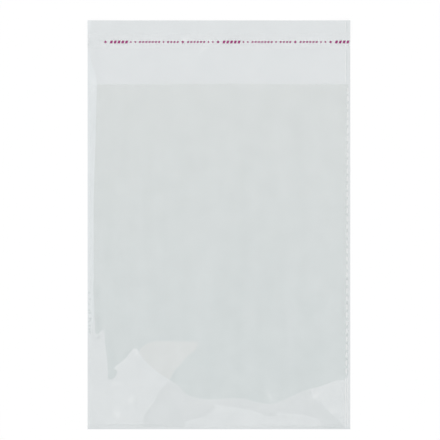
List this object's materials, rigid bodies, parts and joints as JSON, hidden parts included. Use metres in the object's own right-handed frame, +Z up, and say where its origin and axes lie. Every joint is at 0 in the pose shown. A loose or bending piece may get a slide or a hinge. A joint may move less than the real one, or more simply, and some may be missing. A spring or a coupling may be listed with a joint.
{
  "type": "clear film bag",
  "caption": "Flat clear film bag, folded at the bottom and welded at the sides, open at the mouth, with a flap that carries an adhesive strip under a printed peel-off liner.",
  "frame": {"origin": "middle of the bag's outline, on the surface that it lies on", "axes": "X across the bag, +Y from the bottom fold towards the flap, +Z up out of the surface that it lies on"},
  "size_m": [0.16, 0.249, 0.0072],
  "materials": {
    "clear_film": "clear glossy film with a faint cool grey tone",
    "adhesive": "water-clear tacky layer, slightly grainy",
    "liner_film": "pale satin peel-off film with small marks in dark magenta ink"
  },
  "bodies": {
    "root": {"film_bag": "clear_film", "adhesive_strip": "adhesive", "release_liner": "liner_film"}
  },
  "joints": []
}
